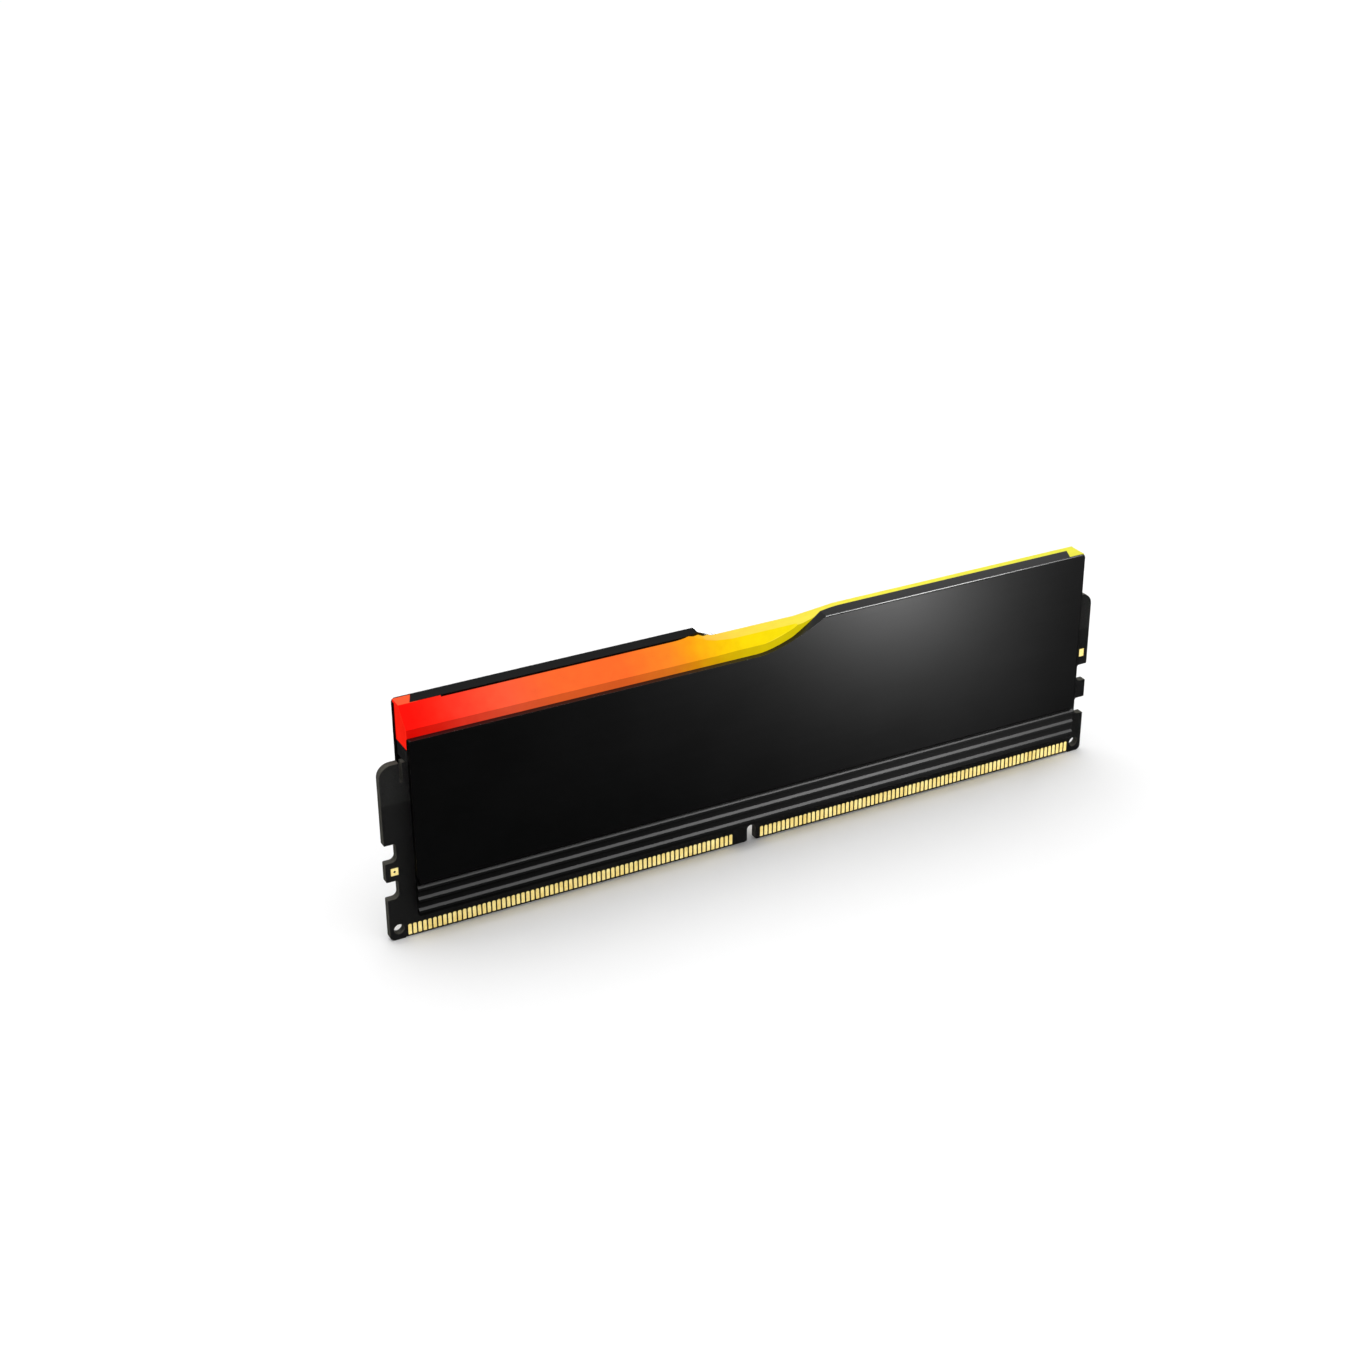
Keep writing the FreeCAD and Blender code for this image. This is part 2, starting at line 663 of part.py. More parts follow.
def front_slope_cuts():
    """The slope beside the end tab, the long slope, and the steep face below the level top."""
    left = -BAR_HALF_LENGTH - OVERCUT
    middle_x = SADDLE_EDGE[0][0]
    return [
        slope_cut(-1, [(left, END_SLOPE_HEAD), (END_SLOPE_X, END_SLOPE_HEAD)]),
        slope_cut(-1, [(END_SLOPE_X, FRONT_SLOPE_HEAD), (middle_x, FRONT_SLOPE_HEAD)]),
        slope_cut(-1, [(x, (y, SADDLE_Z)) for x, y in SADDLE_EDGE]),
    ]


def saddle():
    """The hollow above the level top, open to the front and the rear."""
    points = [Vector(x, 0, z) for x, z in SADDLE_HOLLOW]
    face = Part.Face(Part.makePolygon(points + [points[0]]))
    face.translate(Vector(0, -PLATE_OUTER_Y, 0))
    return face.extrude(Vector(0, 2 * PLATE_OUTER_Y, 0))


def light_bar():
    """Diffuser with a sloping face on each side, a level middle, two end tabs and a channel below."""
    half = BAR_HALF_LENGTH
    body = box(-half, half, -BAR_Y, BAR_Y, BAR_BOTTOM, BAR_TOP)
    tab = box(-half, -TAB_INNER_X, 0, TAB_Y, TAB_BOTTOM, BAR_TOP)
    solid = fused([body, tab, turned(tab)])
    above = above_curve(CREASE_RISE)
    for cutter in front_slope_cuts():
        solid = solid.cut(cutter.common(above))
    rear = slope_cut(1, [(-CURVE_HIGH_X, REAR_SLOPE_HEAD), (half + OVERCUT, REAR_SLOPE_HEAD)])
    solid = solid.cut(rear.common(turned(above_curve(0))))
    solid = solid.cut(saddle()).cut(flange_space()).cut(turned(flange_space()))
    length = CHANNEL_HALF_LENGTH
    channel = box(-length, length, -CHANNEL_Y, CHANNEL_Y, BAR_BOTTOM - OVERCUT, CHANNEL_TOP)
    return solid.cut(channel).removeSplitter()


def light_bar_carrier():
    """Black rail on the board's top edge; each window lets one light shine into the bar."""
    rail = box(-CARRIER_HALF_LENGTH, CARRIER_HALF_LENGTH, -BAR_Y, BAR_Y, BOARD_HEIGHT, BAR_BOTTOM)
    for index in range(LIGHT_COUNT):
        x0 = light_x(index) - WINDOW_LENGTH / 2
        x1 = light_x(index) + WINDOW_LENGTH / 2
        window = box(x0, x1, -WINDOW_Y, WINDOW_Y, BOARD_HEIGHT - OVERCUT, BAR_BOTTOM + OVERCUT)
        rail = rail.cut(window)
    return rail


# ---- the assembly -------------------------------------------------------------------------------
def all_nodes():
    nodes = {
        "pcb": pcb(),
        "front_contacts_left": front_contacts(CONTACT_FIRST_X, LEFT_COUNT),
        "front_contacts_right": front_contacts(RIGHT_FIRST_X, RIGHT_COUNT),
        "rear_contacts_left": rear_contacts(CONTACT_FIRST_X, LEFT_COUNT),
        "rear_contacts_right": rear_contacts(RIGHT_FIRST_X, RIGHT_COUNT),
        "test_pads": test_pads(),
        "power_chip": chip(PMIC_SIZE, PMIC_CENTRE, PMIC_MARK_RADIUS),
        "spd_hub": chip(HUB_SIZE, HUB_CENTRE, HUB_MARK_RADIUS),
        "light_controller": rear_block(CONTROLLER_SIZE, CONTROLLER_CENTRE),
        "inductor_1": inductor(INDUCTOR_SIZE, INDUCTOR_CENTRES[0]),
        "inductor_2": inductor(INDUCTOR_SIZE, INDUCTOR_CENTRES[1]),
        "inductor_3": inductor(SMALL_INDUCTOR_SIZE, SMALL_INDUCTOR_CENTRE),
        "power_capacitors": power_capacitors(),
        "decoupling_capacitors": decoupling_capacitors(),
        "resistor_networks": resistor_networks(),
        "front_thermal_pad_left": front_thermal_pad(-1),
        "front_thermal_pad_right": front_thermal_pad(1),
        "power_thermal_pad": power_thermal_pad(),
        "rear_thermal_pad_left": rear_thermal_pad(-1),
        "rear_thermal_pad_right": rear_thermal_pad(1),
        "front_heat_spreader": front_heat_spreader(),
        "rear_heat_spreader": rear_heat_spreader(),
        "blank_label": blank_label(),
        "light_bar": light_bar(),
        "light_bar_carrier": light_bar_carrier(),
        "front_tape": front_tape(),
        "rear_tape": turned(front_tape()),
    }
    for number, x in enumerate(chip_centres(), start=1):
        nodes["memory_chip_%d" % number] = chip(CHIP_SIZE, (x, CHIP_Z), CHIP_MARK_RADIUS)
    for index in range(LIGHT_COUNT):
        nodes["light_%02d" % (index + 1)] = light(index)
    return nodes


def main():
    os.makedirs("parts", exist_ok=True)
    for name, shape in all_nodes().items():
        if not shape.isValid():
            raise RuntimeError(name + " is not a valid shape")
        shape.exportStep("parts/%s.step" % name)
        print(name, len(shape.Solids), round(shape.Volume, 3))


main()
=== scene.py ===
import math

import bmesh
import bpy
from mathutils import Matrix, Vector


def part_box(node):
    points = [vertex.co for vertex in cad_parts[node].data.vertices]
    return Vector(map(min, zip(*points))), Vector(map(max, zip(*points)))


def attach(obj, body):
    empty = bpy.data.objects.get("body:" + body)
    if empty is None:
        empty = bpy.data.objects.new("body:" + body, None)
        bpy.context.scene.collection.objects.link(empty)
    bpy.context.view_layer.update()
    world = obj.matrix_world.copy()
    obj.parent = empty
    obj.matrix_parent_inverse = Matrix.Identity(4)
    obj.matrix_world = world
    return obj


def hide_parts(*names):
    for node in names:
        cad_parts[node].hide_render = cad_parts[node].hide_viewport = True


# Looks for the memory module: the CAD nodes that show are rebuilt as pieces with rounded edges,
# and the ones inside keep their shape. Each gets a procedural material.
# Metres; same frame as the CAD part.

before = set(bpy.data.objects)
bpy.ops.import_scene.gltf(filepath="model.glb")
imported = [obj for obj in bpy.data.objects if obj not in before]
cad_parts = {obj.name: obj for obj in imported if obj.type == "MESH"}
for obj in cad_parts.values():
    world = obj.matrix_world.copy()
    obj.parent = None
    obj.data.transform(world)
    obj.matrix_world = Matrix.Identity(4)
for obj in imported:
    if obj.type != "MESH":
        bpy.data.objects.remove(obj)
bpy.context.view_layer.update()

MM = 0.001

# camera: where it stands, where it looks and how far it is rolled
CAMERA_PLACE = (-0.16757, -0.29291, 0.20138)
CAMERA_AZIMUTH = -27.44
CAMERA_ELEVATION = 26.82
CAMERA_ROLL = -0.47
CAMERA_LENS = 61.57
SENSOR_WIDTH = 36.0

# brightness of the studio by height: straight down is -1, the horizon 0, straight up 1
SKY = ((-1.0, 0.003), (0.0, 0.008), (0.56, 0.04), (0.82, 0.85), (1.0, 1.0))
SKY_STRENGTH = 2.25

# floor, in metres: half its width, how many squares it has each way, how high its rim stands
FLOOR_HALF = 4.0
FLOOR_SQUARES = 8
BACKDROP_HEIGHT = 2.0

# lights near the object: name, aim in mm, direction from the aim to the light, distance and size
# in metres, power in watts
FRONT_LIGHTS = (
    ("face_light", (25, -3.5, 38), (0.46, -0.85, -0.31), 0.103, 0.008, 0.045),
    ("bend_light", (28, -3.3, 40.4), (0.50, -0.35, 0.79), 0.10, 0.02, 0.36),
    ("curve_light", (6, -3.4, 38.5), (-0.23, -0.58, 0.71), 0.10, 0.03, 0.10),
    ("flange_light", (36, -2, 40.5), (0.53, 0.75, 0.41), 0.30, 0.08, 0.02),
)
REAR_LIGHTS = (
    ("rear_face_light", (-10, 3.5, 30), (0.5, 0.84, -0.1), 0.20, 0.02, 0.5),
)
CONTACT_LIGHTS = (
    ("front_contact_light", (30, -0.7, 1.5), (0.3, -0.9, 0.3), 0.30, 0.10, 0.85),
    ("rear_contact_light", (-30, 0.7, 1.5), (-0.3, 0.9, 0.3), 0.30, 0.10, 0.85),
)

# rounded edges: width in mm and number of steps
PLATE_EDGE = (0.05, 2)
BOARD_EDGE = (0.05, 1)
BAR_EDGE = (0.08, 3)
THIN_EDGE = (0.02, 2)       # contacts, pads and label
# an edge is rounded where its two faces turn by more than this, in degrees
SHARP = 25
BAR_SHARP = 9               # low enough to take in the light bar's shallow creases

# clean-up of a rebuilt mesh: corners this close (metres) and faces this level (degrees) are one
WELD = 1e-6
LEVEL = 0.5

# heights and places along X where a look changes, in mm
BAND_TOP = (10.6, 11.0)     # top of the ribbed band on a plate
CLOTH_STEP = (24.3, 24.5)   # above this the board's glass cloth shows more strongly
TAB_END = (-59.3, -58.9)    # inner end of the light bar's flat tab at its red end
MIDDLE = (-16.0, -8.0)      # red end of the bar's level middle, whose flat top carries a painted paler reflection

# light bar colours (linear) by place along the bar, in mm from the middle
GLOW = (
    (-61.0, (0.99, 0.004, 0.001)),
    (-57.0, (0.99, 0.016, 0.006)),
    (-53.0, (0.99, 0.041, 0.019)),
    (-45.0, (0.99, 0.107, 0.040)),
    (-37.0, (0.98, 0.140, 0.026)),
    (-25.0, (0.99, 0.153, 0.022)),
    (-17.0, (0.99, 0.246, 0.017)),
    (-13.0, (0.99, 0.352, 0.005)),
    (-9.0, (0.97, 0.533, 0.002)),
    (-4.0, (0.98, 0.708, 0.002)),
    (4.0, (0.95, 0.768, 0.003)),
    (20.0, (0.94, 0.850, 0.010)),
    (61.0, (0.86, 0.820, 0.010)),
)


# ---- small helpers for node trees -----------------------------------------------------------
class Look:
    """A material's node tree with one Principled shader."""

    def __init__(self, name, **constants):
        self.material = bpy.data.materials.new(name)
        self.material.use_nodes = True
        self.tree = self.material.node_tree
        self.shader = self.tree.nodes["Principled BSDF"]
        for socket, value in constants.items():
            self.shader.inputs[socket.replace("_", " ")].default_value = value

    def add(self, kind, **settings):
        made = self.tree.nodes.new(kind)
        for key, value in settings.items():
            setattr(made, key, value)
        return made

    def join(self, source, target):
        self.tree.links.new(source, target)

    def place(self, stretch=(1, 1, 1)):
        """Object coordinates in millimetres, stretched."""
        coordinates = self.add("ShaderNodeTexCoord")
        mapping = self.add("ShaderNodeMapping")
        mapping.inputs["Scale"].default_value = [s / MM for s in stretch]
        self.join(coordinates.outputs["Object"], mapping.inputs["Vector"])
        return mapping.outputs["Vector"]

    def noise(self, place, scale, detail, roughness):
        made = self.add("ShaderNodeTexNoise")
        made.inputs["Scale"].default_value = scale
        made.inputs["Detail"].default_value = detail
        made.inputs["Roughness"].default_value = roughness
        self.join(place, made.inputs["Vector"])
        return made.outputs["Fac"]

    def wave(self, place, direction, scale, distortion=0.0):
        made = self.add("ShaderNodeTexWave", bands_direction=direction)
        made.inputs["Scale"].default_value = scale
        made.inputs["Distortion"].default_value = distortion
        self.join(place, made.inputs["Vector"])
        return made.outputs["Fac"]

    def math(self, operation, a, b):
        made = self.add("ShaderNodeMath", operation=operation)
        for socket, value in zip(made.inputs, (a, b)):
            if isinstance(value, (int, float)):
                socket.default_value = value
            else:
                self.join(value, socket)
        return made.outputs["Value"]

    def ramp(self, factor, stops):
        """A colour from stops of place and colour."""
        made = self.add("ShaderNodeValToRGB")
        elements = made.color_ramp.elements
        while len(elements) < len(stops):
            elements.new(0.5)
        for element, (position, colour) in zip(elements, stops):
            element.position = position
            element.color = (*colour, 1)
        self.join(factor, made.inputs["Fac"])
        return made.outputs["Color"]

    def span(self, value, source, result):
        """Goes smoothly over the result's range while the value goes over the source's range."""
        made = self.add("ShaderNodeMapRange", interpolation_type="SMOOTHSTEP")
        made.inputs["From Min"].default_value = source[0]
        made.inputs["From Max"].default_value = source[1]
        made.inputs["To Min"].default_value = result[0]
        made.inputs["To Max"].default_value = result[1]
        self.join(value, made.inputs["Value"])
        return made.outputs["Result"]

    def blend(self, a, b, share):
        """The sum of two values, in which the second has this share."""
        return self.math("ADD", self.math("MULTIPLY", a, 1 - share), self.math("MULTIPLY", b, share))

    def mix(self, factor, a, b):
        """A colour that goes from a to b as the factor goes from 0 to 1."""
        made = self.add("ShaderNodeMix", data_type="RGBA")
        for socket, value in ((made.inputs[0], factor), (made.inputs[6], a), (made.inputs[7], b)):
            if isinstance(value, (int, float)):
                socket.default_value = value
            elif isinstance(value, tuple):
                socket.default_value = (*value, 1)
            else:
                self.join(value, socket)
        return made.outputs[2]

    def along(self, axis):
        """One object coordinate in millimetres."""
        coordinates = self.add("ShaderNodeTexCoord")
        split = self.add("ShaderNodeSeparateXYZ")
        self.join(coordinates.outputs["Object"], split.inputs[0])
        return self.math("DIVIDE", split.outputs[axis], MM)

    def facing(self, axis):
        """How far the surface looks along an axis, from -1 to 1."""
        geometry = self.add("ShaderNodeNewGeometry")
        split = self.add("ShaderNodeSeparateXYZ")
        self.join(geometry.outputs["Normal"], split.inputs[0])
        return split.outputs[axis]

    def colour(self, source):
        self.join(source, self.shader.inputs["Base Color"])

    def rough(self, source):
        self.join(source, self.shader.inputs["Roughness"])

    def bump(self, height, depth, strength):
        """Raises the surface by a height from 0 to 1 times a depth in millimetres."""
        made = self.add("ShaderNodeBump")
        made.inputs["Strength"].default_value = strength
        made.inputs["Distance"].default_value = depth * MM
        self.join(height, made.inputs["Height"])
        self.join(made.outputs["Normal"], self.shader.inputs["Normal"])


# ---- materials -------------------------------------------------------------------------------
def anodised(name, dark, light, roughness, gloss):
    """Bead-blasted black anodised aluminium: fine pits, faint rolling lines and handling marks."""
    look = Look(name, Specular_IOR_Level=gloss, IOR=1.45)
    place = look.place()
    cloud = look.noise(place, scale=0.045, detail=4.0, roughness=0.6)
    grain = look.noise(place, scale=5.5, detail=2.0, roughness=0.7)
    rolled = look.noise(look.place((0.02, 1, 1.6)), scale=1.4, detail=3.0, roughness=0.6)
    look.colour(look.ramp(look.blend(cloud, grain, 0.5), ((0.35, dark), (0.65, light))))
    uneven = look.blend(cloud, rolled, 0.5)
    handled = look.span(uneven, (0.3, 0.7), (roughness - 0.012, roughness + 0.016))
    duller_band = look.span(look.along("Z"), BAND_TOP, (0.2, 0.0))
    look.rough(look.math("ADD", handled, duller_band))
    pits = look.math("ADD", grain, look.math("MULTIPLY", rolled, 0.1))
    look.bump(pits, depth=0.012, strength=0.25)
    return look.material


def solder_mask():
    """Black solder mask over woven glass cloth, thinner over the top of the board."""
    look = Look("solder_mask", Specular_IOR_Level=0.42, IOR=1.5)
    place = look.place()
    warp = look.wave(place, "X", scale=2.1, distortion=0.6)
    weft = look.wave(place, "Z", scale=2.1, distortion=0.6)
    weave = look.math("MULTIPLY", warp, weft)
    speckle = look.noise(place, scale=9.0, detail=3.0, roughness=0.7)
    mottled = look.blend(weave, speckle, 0.55)
    cloth = look.ramp(mottled, ((0.30, (0.004, 0.004, 0.0042)), (0.72, (0.085, 0.085, 0.082))))
    covered = look.mix(0.5, cloth, (0.004, 0.004, 0.0045))
    above = look.span(look.along("Z"), CLOTH_STEP, (0.0, 1.0))
    look.colour(look.mix(above, covered, cloth))
    look.rough(look.span(mottled, (0.2, 0.8), (0.34, 0.58)))
    look.bump(mottled, depth=0.06, strength=0.8)
    return look.material


def cut_fibre():
    """Routed board edge: dark glass fibre with paler layer lines."""
    look = Look("cut_fibre", Specular_IOR_Level=0.4)
    layers = look.noise(look.place((0.3, 9.0, 0.3)), scale=1.0, detail=3.0, roughness=0.7)
    speckle = look.noise(look.place(), scale=7.0, detail=2.0, roughness=0.6)
    tone = look.blend(layers, speckle, 0.4)
    look.colour(look.ramp(tone, ((0.3, (0.012, 0.011, 0.009)), (0.7, (0.10, 0.095, 0.075)))))
    look.rough(look.span(tone, (0.2, 0.8), (0.55, 0.8)))
    look.bump(tone, depth=0.03, strength=0.7)
    return look.material


def gold():
    """Hard gold plating: satin, with probe scratches along the insertion direction."""
    look = Look("gold", Metallic=0.15, Specular_IOR_Level=0.5)
    place = look.place()
    tint = look.noise(place, scale=0.6, detail=3.0, roughness=0.6)
    scratch = look.noise(look.place((9.0, 9.0, 0.7)), scale=1.0, detail=3.0, roughness=0.7)
    look.colour(look.ramp(tint, ((0.3, (0.80, 0.60, 0.18)), (0.7, (0.97, 0.82, 0.34)))))
    look.rough(look.span(scratch, (0.3, 0.7), (0.22, 0.40)))
    look.bump(scratch, depth=0.006, strength=0.5)
    return look.material


def glowing_acrylic():
    """Frosted acrylic lit from inside, red at the left end through orange to yellow."""
    look = Look("glowing_acrylic", Specular_IOR_Level=0.04, IOR=1.49)
    place = look.place()
    low, high = (corner.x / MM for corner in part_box("light_bar"))
    run = high - low
    along = look.along("X")
    frost = look.noise(place, scale=0.5, detail=4.0, roughness=0.6)
    wander = look.math("MULTIPLY", look.math("SUBTRACT", frost, 0.5), 2.0)
    # the flat tab and the outer end take their colour from further along the bar
    flat = look.span(look.facing("Z"), (0.93, 0.99), (0.0, 1.0))
    on_tab = look.span(along, TAB_END, (17.0, 0.0))
    outward = look.span(look.facing("X"), (-0.9, -0.5), (5.0, 0.0))
    shifted = look.math("ADD", look.math("MULTIPLY", flat, on_tab), outward)
    where = look.math("ADD", look.math("ADD", along, wander), shifted)
    share = look.math("DIVIDE", look.math("SUBTRACT", where, low), run)
    glow = look.ramp(share, [((x - low) / run, colour) for x, colour in GLOW])
    # the level middle's flat top glows a little paler: a painted reflection of the bright sky
    painted_top_reflection = look.math("MULTIPLY", flat, look.span(along, MIDDLE, (0.0, 0.07)))
    look.join(look.mix(painted_top_reflection, glow, (1.0, 1.0, 1.0)), look.shader.inputs["Emission Color"])
    look.colour(look.mix(0.97, glow, (0.0, 0.0, 0.0)))
    # steep faces glow less than those that look up or out of the red end
    upward = look.span(look.facing("Z"), (0.0, 0.3), (0.66, 1.0))
    outer_end = look.span(look.facing("X"), (-0.9, -0.5), (0.94, 0.0))
    strength = look.math("MAXIMUM", upward, outer_end)
    cloudy = look.span(frost, (0.25, 0.75), (0.96, 1.04))
    look.join(look.math("MULTIPLY", strength, cloudy), look.shader.inputs["Emission Strength"])
    fine = look.noise(place, scale=12.0, detail=2.0, roughness=0.6)
    look.rough(look.span(fine, (0.3, 0.7), (0.46, 0.6)))
    look.bump(fine, depth=0.008, strength=0.4)
    return look.material


def moulded(name, dark, light, roughness, grain_scale=6.0):
    """Moulded plastic, rubber or compound with a fine grain."""
    look = Look(name, Specular_IOR_Level=0.4)
    place = look.place()
    cloud = look.noise(place, scale=0.3, detail=3.0, roughness=0.6)
    grain = look.noise(place, scale=grain_scale, detail=3.0, roughness=0.7)
    look.colour(look.ramp(look.blend(cloud, grain, 0.5), ((0.3, dark), (0.7, light))))
    look.rough(look.span(grain, (0.3, 0.7), (roughness - 0.07, roughness + 0.07)))
    look.bump(grain, depth=0.015, strength=0.5)
    return look.material


def tinned_ceramic(name, body_dark, body_light):
    """Chip component: coloured body with tinned bands that repeat along X."""
    look = Look(name, Specular_IOR_Level=0.5)
    place = look.place()
    grain = look.noise(place, scale=5.0, detail=3.0, roughness=0.7)
    body = look.ramp(grain, ((0.3, body_dark), (0.7, body_light)))
    solder = look.ramp(grain, ((0.3, (0.45, 0.45, 0.46)), (0.7, (0.68, 0.68, 0.69))))
    bands = look.span(look.wave(place, "X", scale=0.5), (0.6, 0.7), (0.0, 1.0))
    look.colour(look.mix(bands, body, solder))
    look.rough(look.span(grain, (0.3, 0.7), (0.3, 0.5)))
    look.bump(grain, depth=0.02, strength=0.5)
    return look.material


def film_label():
    """Plain silver film with faint lengthwise brushing."""
    look = Look("film_label", Metallic=0.35, Specular_IOR_Level=0.5)
    brushed = look.noise(look.place((0.05, 1, 3.0)), scale=2.0, detail=3.0, roughness=0.6)
    cloud = look.noise(look.place(), scale=0.12, detail=3.0, roughness=0.6)
    tone = look.blend(brushed, cloud, 0.5)
    look.colour(look.ramp(tone, ((0.3, (0.42, 0.43, 0.44)), (0.7, (0.60, 0.61, 0.62)))))
    look.rough(look.span(brushed, (0.3, 0.7), (0.32, 0.45)))
    look.bump(tone, depth=0.01, strength=0.4)
    return look.material


SPREADER = anodised(
    "spreader", dark=(0.0002, 0.0002, 0.0002), light=(0.0012, 0.0012, 0.0013), roughness=0.364, gloss=0.35
)
# rounded plate edges: a glossier copy of the plate finish, painted lighter as a painted highlight along
# the edges
SPREADER_EDGE_PAINTED_HIGHLIGHT = anodised(
    "spreader_edge_painted_highlight", dark=(0.004, 0.004, 0.0042), light=(0.016, 0.016, 0.0165), roughness=0.29, gloss=0.5
)
MASK = solder_mask()
FIBRE = cut_fibre()
GOLD = gold()
ACRYLIC = glowing_acrylic()
COMPOUND = moulded("chip_compound", (0.010, 0.010, 0.011), (0.030, 0.030, 0.032), 0.55)
FERRITE = moulded("ferrite", (0.06, 0.06, 0.065), (0.15, 0.15, 0.155), 0.6)
SILICONE = moulded("thermal_silicone", (0.30, 0.32, 0.35), (0.50, 0.52, 0.55), 0.65, 2.5)
CARRIER = moulded("carrier_plastic", (0.006, 0.006, 0.006), (0.022, 0.022, 0.022), 0.5)
TAPE = moulded("foam_tape", (0.02, 0.02, 0.022), (0.07, 0.07, 0.075), 0.85, 3.0)
LIGHT = moulded("light_package", (0.62, 0.62, 0.58), (0.86, 0.86, 0.82), 0.35)
CERAMIC = tinned_ceramic("ceramic", (0.24, 0.16, 0.09), (0.50, 0.38, 0.26))
RESISTOR = tinned_ceramic("resistor", (0.010, 0.010, 0.012), (0.04, 0.04, 0.045))
LABEL = film_label()


# ---- pieces ----------------------------------------------------------------------------------
def rebuilt(name, node, materials, edge, side_index=0, edge_index=-1, sharp=SHARP):
    """A piece that stands for a CAD node: the same faces, with its sharp edges rounded over.

    Faces that look along X or Z take the material at side_index, and the rounded edges the one at
    edge_index, or their neighbour's where that is -1.
    """
    mesh = bpy.data.meshes.new(name)
    form = bmesh.new()
    form.from_mesh(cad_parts[node].data)
    bmesh.ops.remove_doubles(form, verts=form.verts, dist=WELD)
    bmesh.ops.dissolve_limit(form, angle_limit=math.radians(LEVEL), verts=form.verts, edges=form.edges)
    for face in form.faces:
        face.smooth = True
        face.material_index = side_index if abs(face.normal.y) < 0.5 else 0
    form.to_mesh(mesh)
    form.free()
    piece = bpy.data.objects.new(name, mesh)
    bpy.context.scene.collection.objects.link(piece)
    for material in materials:
        mesh.materials.append(material)
    width, steps = edge
    rounding = piece.modifiers.new("rounded_edges", "BEVEL")
    rounding.width = width * MM
    rounding.segments = steps
    rounding.limit_method = "ANGLE"
    rounding.angle_limit = math.radians(sharp)
    rounding.use_clamp_overlap = True
    rounding.material = edge_index
    flatten = piece.modifiers.new("flat_faces_stay_flat", "WEIGHTED_NORMAL")
    flatten.mode = "FACE_AREA"
    flatten.weight = 100
    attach(piece, "root")
    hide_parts(node)
    return piece


def dress(prefix, material):
    """The CAD nodes whose names start this way keep their shape and take the material."""
    for name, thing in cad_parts.items():
        if name.startswith(prefix):
            thing.data.materials.clear()
            thing.data.materials.append(material)


def make_pieces():
    for side in ("front", "rear"):
        node = f"{side}_heat_spreader"
        # the rounded edges take the copy painted lighter, a painted edge highlight
        rebuilt(f"{side}_plate", node, [SPREADER, SPREADER_EDGE_PAINTED_HIGHLIGHT], PLATE_EDGE, edge_index=1)
        for end in ("left", "right"):
            rebuilt(f"{side}_gold_{end}", f"{side}_contacts_{end}", [GOLD], THIN_EDGE)
    rebuilt("board", "pcb", [MASK, FIBRE], BOARD_EDGE, side_index=1)
    rebuilt("bare_pads", "test_pads", [GOLD], THIN_EDGE)
    rebuilt("glow_bar", "light_bar", [ACRYLIC], BAR_EDGE, sharp=BAR_SHARP)
    rebuilt("rear_label", "blank_label", [LABEL], THIN_EDGE)


def dress_nodes():
    for prefix, material in (
        ("memory_chip", COMPOUND),
        ("power_chip", COMPOUND),
        ("spd_hub", COMPOUND),
        ("light_controller", COMPOUND),
        ("inductor", FERRITE),
        ("power_capacitors", CERAMIC),
        ("decoupling_capacitors", CERAMIC),
        ("resistor_networks", RESISTOR),
        ("front_thermal_pad", SILICONE),
        ("rear_thermal_pad", SILICONE),
        ("power_thermal_pad", SILICONE),
        ("light_bar_carrier", CARRIER),
        ("front_tape", TAPE),
        ("rear_tape", TAPE),
        ("light_0", LIGHT),
        ("light_1", LIGHT),
    ):
        dress(prefix, material)


# ---- stage, light and camera -------------------------------------------------------------------
def make_floor():
    """Pale floor; its outermost row of squares rises to a backdrop all round."""
    look = Look("floor", Specular_IOR_Level=0.2)
    soft = look.noise(look.place(), scale=0.01, detail=2.0, roughness=0.5)
    look.colour(look.ramp(soft, ((0.3, (0.90, 0.90, 0.90)), (0.7, (0.92, 0.92, 0.92)))))
    look.rough(look.span(soft, (0.3, 0.7), (0.6, 0.7)))
    form = bmesh.new()
    bmesh.ops.create_grid(form, x_segments=FLOOR_SQUARES, y_segments=FLOOR_SQUARES, size=FLOOR_HALF)
    for vert in form.verts:
        if vert.is_boundary:
            vert.co.z = BACKDROP_HEIGHT
    mesh = bpy.data.meshes.new("floor")
    form.to_mesh(mesh)
    form.free()
    mesh.materials.append(look.material)
    floor = bpy.data.objects.new("floor", mesh)
    floor.visible_glossy = False
    bpy.context.scene.collection.objects.link(floor)


def accent(name, target, direction, distance, size, power, lit):
    """Small area light aimed at a target; it lights only the given collection."""
    light = bpy.data.lights.new(name, "AREA")
    light.size = size
    light.energy = power
    thing = bpy.data.objects.new(name, light)
    towards = Vector(direction).normalized()
    thing.location = Vector(target) * MM + towards * distance
    thing.rotation_euler = towards.to_track_quat("Z", "Y").to_euler()
    thing.visible_camera = False
    bpy.context.scene.collection.objects.link(thing)
    thing.light_linking.receiver_collection = lit


def only(*names):
    """A collection of the named pieces, for a light that lights nothing else."""
    group = bpy.data.collections.new("lit_" + names[0])
    for name in names:
        group.objects.link(bpy.data.objects[name])
    return group


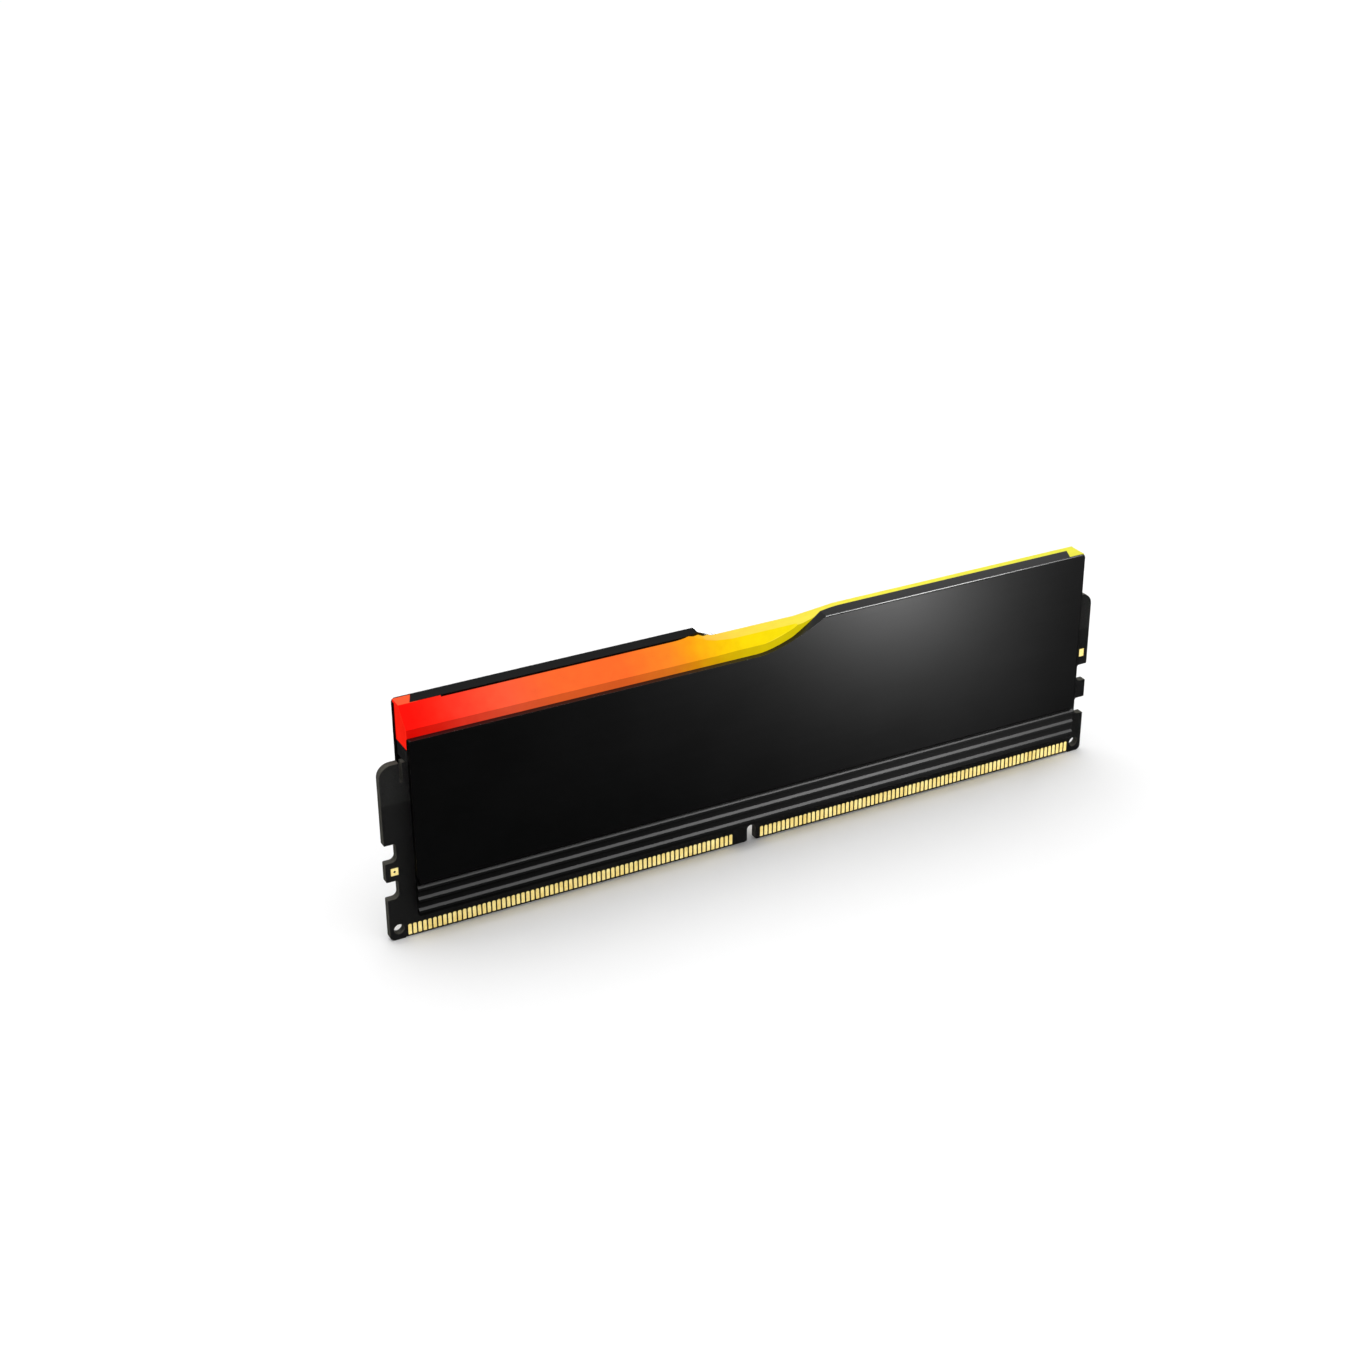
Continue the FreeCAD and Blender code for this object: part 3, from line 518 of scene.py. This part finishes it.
def overhead_sky():
    """Soft light from above, fading to dim at the horizon and dark below it."""
    world = bpy.data.worlds.new("studio")
    world.use_nodes = True
    tree = world.node_tree
    coordinates = tree.nodes.new("ShaderNodeTexCoord")
    split = tree.nodes.new("ShaderNodeSeparateXYZ")
    shape = tree.nodes.new("ShaderNodeValToRGB")
    shape.color_ramp.interpolation = "EASE"
    elements = shape.color_ramp.elements
    while len(elements) < len(SKY):
        elements.new(0.5)
    for element, (height, value) in zip(elements, SKY):
        element.position = (height + 1) / 2
        element.color = (value, value, value, 1)
    level = tree.nodes.new("ShaderNodeMapRange")
    level.inputs["From Min"].default_value = -1
    tree.links.new(coordinates.outputs["Generated"], split.inputs[0])
    tree.links.new(split.outputs["Z"], level.inputs["Value"])
    tree.links.new(level.outputs["Result"], shape.inputs["Fac"])
    background = tree.nodes["Background"]
    background.inputs["Strength"].default_value = SKY_STRENGTH
    tree.links.new(shape.outputs["Color"], background.inputs["Color"])
    bpy.context.scene.world = world


def make_light():
    overhead_sky()
    front = only("front_plate")
    rear = only("rear_plate")
    gold = only("front_gold_left", "front_gold_right", "rear_gold_left", "rear_gold_right", "bare_pads")
    for lights, lit in ((FRONT_LIGHTS, front), (REAR_LIGHTS, rear), (CONTACT_LIGHTS, gold)):
        for light in lights:
            accent(*light, lit)
    bpy.context.scene.view_settings.view_transform = "Standard"


def make_camera():
    azimuth = math.radians(CAMERA_AZIMUTH)
    elevation = math.radians(CAMERA_ELEVATION)
    back = Vector((
        math.sin(azimuth) * math.cos(elevation),
        -math.cos(azimuth) * math.cos(elevation),
        math.sin(elevation),
    ))
    right = Vector((math.cos(azimuth), math.sin(azimuth), 0))
    up = back.cross(right)
    turn = Matrix((right, up, back)).transposed()
    roll = Matrix.Rotation(math.radians(CAMERA_ROLL), 3, "Z")
    lens = bpy.data.cameras.new("camera")
    lens.lens = CAMERA_LENS
    lens.sensor_width = SENSOR_WIDTH
    lens.clip_start = 0.01
    camera = bpy.data.objects.new("camera", lens)
    camera.matrix_world = Matrix.Translation(CAMERA_PLACE) @ (turn @ roll).to_4x4()
    bpy.context.scene.collection.objects.link(camera)
    bpy.context.scene.camera = camera


make_pieces()
dress_nodes()
make_floor()
make_light()
make_camera()

bpy.context.view_layer.update()
